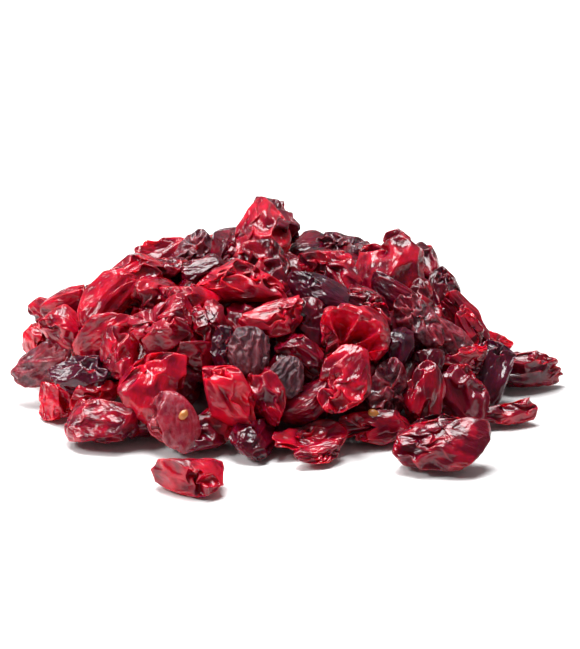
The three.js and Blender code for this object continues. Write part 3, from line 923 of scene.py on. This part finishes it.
# The berries underneath, which show as dark shapes in the gaps between those on top; their skin is
# painted a darker red than the berries above them, as painted shade. They lie every way round, half
# pressed into the middle of the heap.
UNDER_SEED = 7
UNDER_TRIES = 2500
UNDER_SPREAD = 0.9
UNDER_SINK = 4.2
UNDER_ROOM = 0.27
UNDER_LONG = (10, 13)
UNDER_WIDE = 0.75
UNDER_THICK = 0.6
UNDER_SHADES = (-0.3, 0.3)

draw = draws_from(UNDER_SEED)
under_berries = []
for _ in range(UNDER_TRIES):
    x, y = spot_on_dome(draw, UNDER_SPREAD)
    long = between(draw, UNDER_LONG)
    half_size = np.array([long, UNDER_WIDE * long, UNDER_THICK * long]) / 2
    out = dome_normal(x, y)
    tilted = unit(out + direction_from(draw))
    along = unit(np.cross(direction_from(draw), tilted))
    axes = np.array([along, np.cross(tilted, along), tilted])
    sink = UNDER_SINK + SHOULDER_SINK * shoulder(x, y)
    place = np.array([x, y, dome_height(x, y)]) - sink * out
    place[2] = max(place[2], SETTLE * half_height(half_size, axes))
    rooms = [UNDER_ROOM * (long + 2 * other["half_size"][0]) for other in under_berries]
    aways = [np.linalg.norm(other["place"] - place) for other in under_berries]
    if all(away > room for away, room in zip(aways, rooms)):
        kind = rng.choice(WHOLE_KINDS)
        under_berries.append(
            dict(
                place=place, axes=axes, half_size=half_size, form=whole, kind=kind,
                roll=rng.uniform(0, 360), shade=rng.uniform(*UNDER_SHADES), fineness="rough",
            )
        )
for berry in under_berries:
    berry["place"] = berry["place"] - (0, 0, below_crest(berry))
# Painted shade: a darker copy of the berry skin for the berries in the gaps.
shaded_under_skin = berry_skin("shaded_under_skin", (0.06, 0.001, 0.007), (0.24, 0.003, 0.014))
berry_piece("cranberries_underneath", under_berries, shaded_under_skin, 22)

# The seeds that came out where a berry tore open: smooth amber husks, pointed at one end, half sunk
# in the sticky skin. Rows of: across and rise in the picture, and lean.
SEEDS = [(-18.0, -15.2, 50), (-29.4, -11.8, 10), (14.3, -15.1, -20)]
SEED_HALF = np.array([1.05, 0.65, 0.5])
SEED_BLUNT = 0.25
SEED_TAPER = 0.3
SEED_KNOB = 0.04
SEED_FACE = 0.5
SEED_SUNK = 0.05
SEED_AMBER = (0.52, 0.20, 0.05, 1)
SEED_ROUGHNESS = 0.3
SEED_GLOW = 0.5
SEED_CLEAR = 0.4

outer_berries = [piece for piece in bpy.data.objects if piece.name.startswith("cranberries_")]
skins_to_meet = []
for piece in outer_berries:
    corners = [point.co for point in piece.data.vertices]
    skins_to_meet.append(BVHTree.FromPolygons(corners, [face.vertices[:] for face in piece.data.polygons]))
places, faces = [], []
for number, (across, rise, lean) in enumerate(SEEDS):
    sight = unit(EYE_AIM + across * np.array([1, 0, 0]) + rise * upward - eye)
    met = [skin.ray_cast((eye + HEAP_SHIFT) * MM, sight) for skin in skins_to_meet]
    met = min((one for one in met if one[0] is not None), key=lambda one: one[3])
    face = unit(np.array(met[1]) - SEED_FACE * sight)
    angle = math.radians(lean)
    along = math.cos(angle) * np.array([1, 0, 0]) + math.sin(angle) * upward
    along = unit(along - (along @ face) * face)
    ball, seed_faces, _ = BALLS[3]
    points = ball * (1 - SEED_BLUNT * ball[:, :1] ** 2 * (ball[:, :1] > 0)) * SEED_HALF
    points[:, 1:] *= 1 - SEED_TAPER * ball[:, :1]
    points += SEED_KNOB * swell(np.random.default_rng(number), ball, 5)[:, None] * ball
    axes = np.array([along, np.cross(face, along), face])
    places.append(np.array(met[0]) / MM - HEAP_SHIFT - SEED_SUNK * face + points @ axes)
    faces.append(seed_faces + number * len(ball))
seed_husk = plain_skin("seed_husk", SEED_AMBER, SEED_ROUGHNESS)
husk_shader = seed_husk.node_tree.nodes["Principled BSDF"]
husk_shader.inputs["Subsurface Weight"].default_value = SEED_GLOW
husk_shader.inputs["Subsurface Scale"].default_value = SEED_CLEAR * MM
heap_piece("cranberry_seeds", np.concatenate(places), np.concatenate(faces), seed_husk)

# The floor: a wide white table top, painted and hardly glossy, that the heap was tipped out on.
FLOOR_HALF = 3.0
FLOOR_WHITE = (0.9, 0.9, 0.9, 1)
FLOOR_ROUGHNESS = 0.5
floor_mesh = bpy.data.meshes.new("floor")
corners = [(-FLOOR_HALF, -FLOOR_HALF, 0), (FLOOR_HALF, -FLOOR_HALF, 0)]
corners += [(FLOOR_HALF, FLOOR_HALF, 0), (-FLOOR_HALF, FLOOR_HALF, 0)]
floor_mesh.from_pydata(corners, [], [(0, 1, 2, 3)])
floor_mesh.materials.append(plain_skin("white_table", FLOOR_WHITE, FLOOR_ROUGHNESS))
floor = bpy.data.objects.new("floor", floor_mesh)
bpy.context.scene.collection.objects.link(floor)

# The light: a large soft lamp high over the heap and a little behind it, a small one behind on the
# left, and one at the left in front. All are square soft boxes that face the heap. Rows of: name,
# place and size in metres, power in watts.
LIT_PLACE = (0, 0, 0.01)
LAMPS = [
    ("lamp_top", (-0.05, 0.12, 0.75), 0.4, 8.5),
    ("lamp_back", (-0.3, 0.3, 0.6), 0.12, 1.5),
    ("lamp_left", (-0.5, -0.15, 0.45), 0.2, 2.5),
]
for name, place, size, power in LAMPS:
    lamp_data = bpy.data.lights.new(name, "AREA")
    lamp_data.size = size
    lamp_data.energy = power
    lamp = bpy.data.objects.new(name, lamp_data)
    lamp.location = place
    lamp.rotation_euler = (Vector(LIT_PLACE) - Vector(place)).to_track_quat("-Z", "Y").to_euler()
    bpy.context.scene.collection.objects.link(lamp)

# A white wall behind the table, and a dim room in front: the gloss of the berries shows the wall at
# their upper rims, and their front sides stay deep in colour.
WALL_LIGHT = 0.35
ROOM_LIGHT = 0.15
WALL_FROM = 0.5
ROOM_FROM = -0.2
world = bpy.data.worlds.new("studio")
world.use_nodes = True
studio = world.node_tree
direction = studio.nodes.new("ShaderNodeTexCoord")
towards_wall = studio.nodes.new("ShaderNodeSeparateXYZ")
studio.links.new(direction.outputs["Generated"], towards_wall.inputs[0])
strength = studio.nodes.new("ShaderNodeMapRange")
strength.inputs["From Min"].default_value = ROOM_FROM
strength.inputs["From Max"].default_value = WALL_FROM
strength.inputs["To Min"].default_value = ROOM_LIGHT
strength.inputs["To Max"].default_value = WALL_LIGHT
studio.links.new(towards_wall.outputs["Y"], strength.inputs["Value"])
studio.links.new(strength.outputs["Result"], studio.nodes["Background"].inputs["Strength"])
studio.nodes["Background"].inputs["Color"].default_value = (1, 1, 1, 1)
bpy.context.scene.world = world
bpy.context.scene.view_settings.view_transform = "Standard"
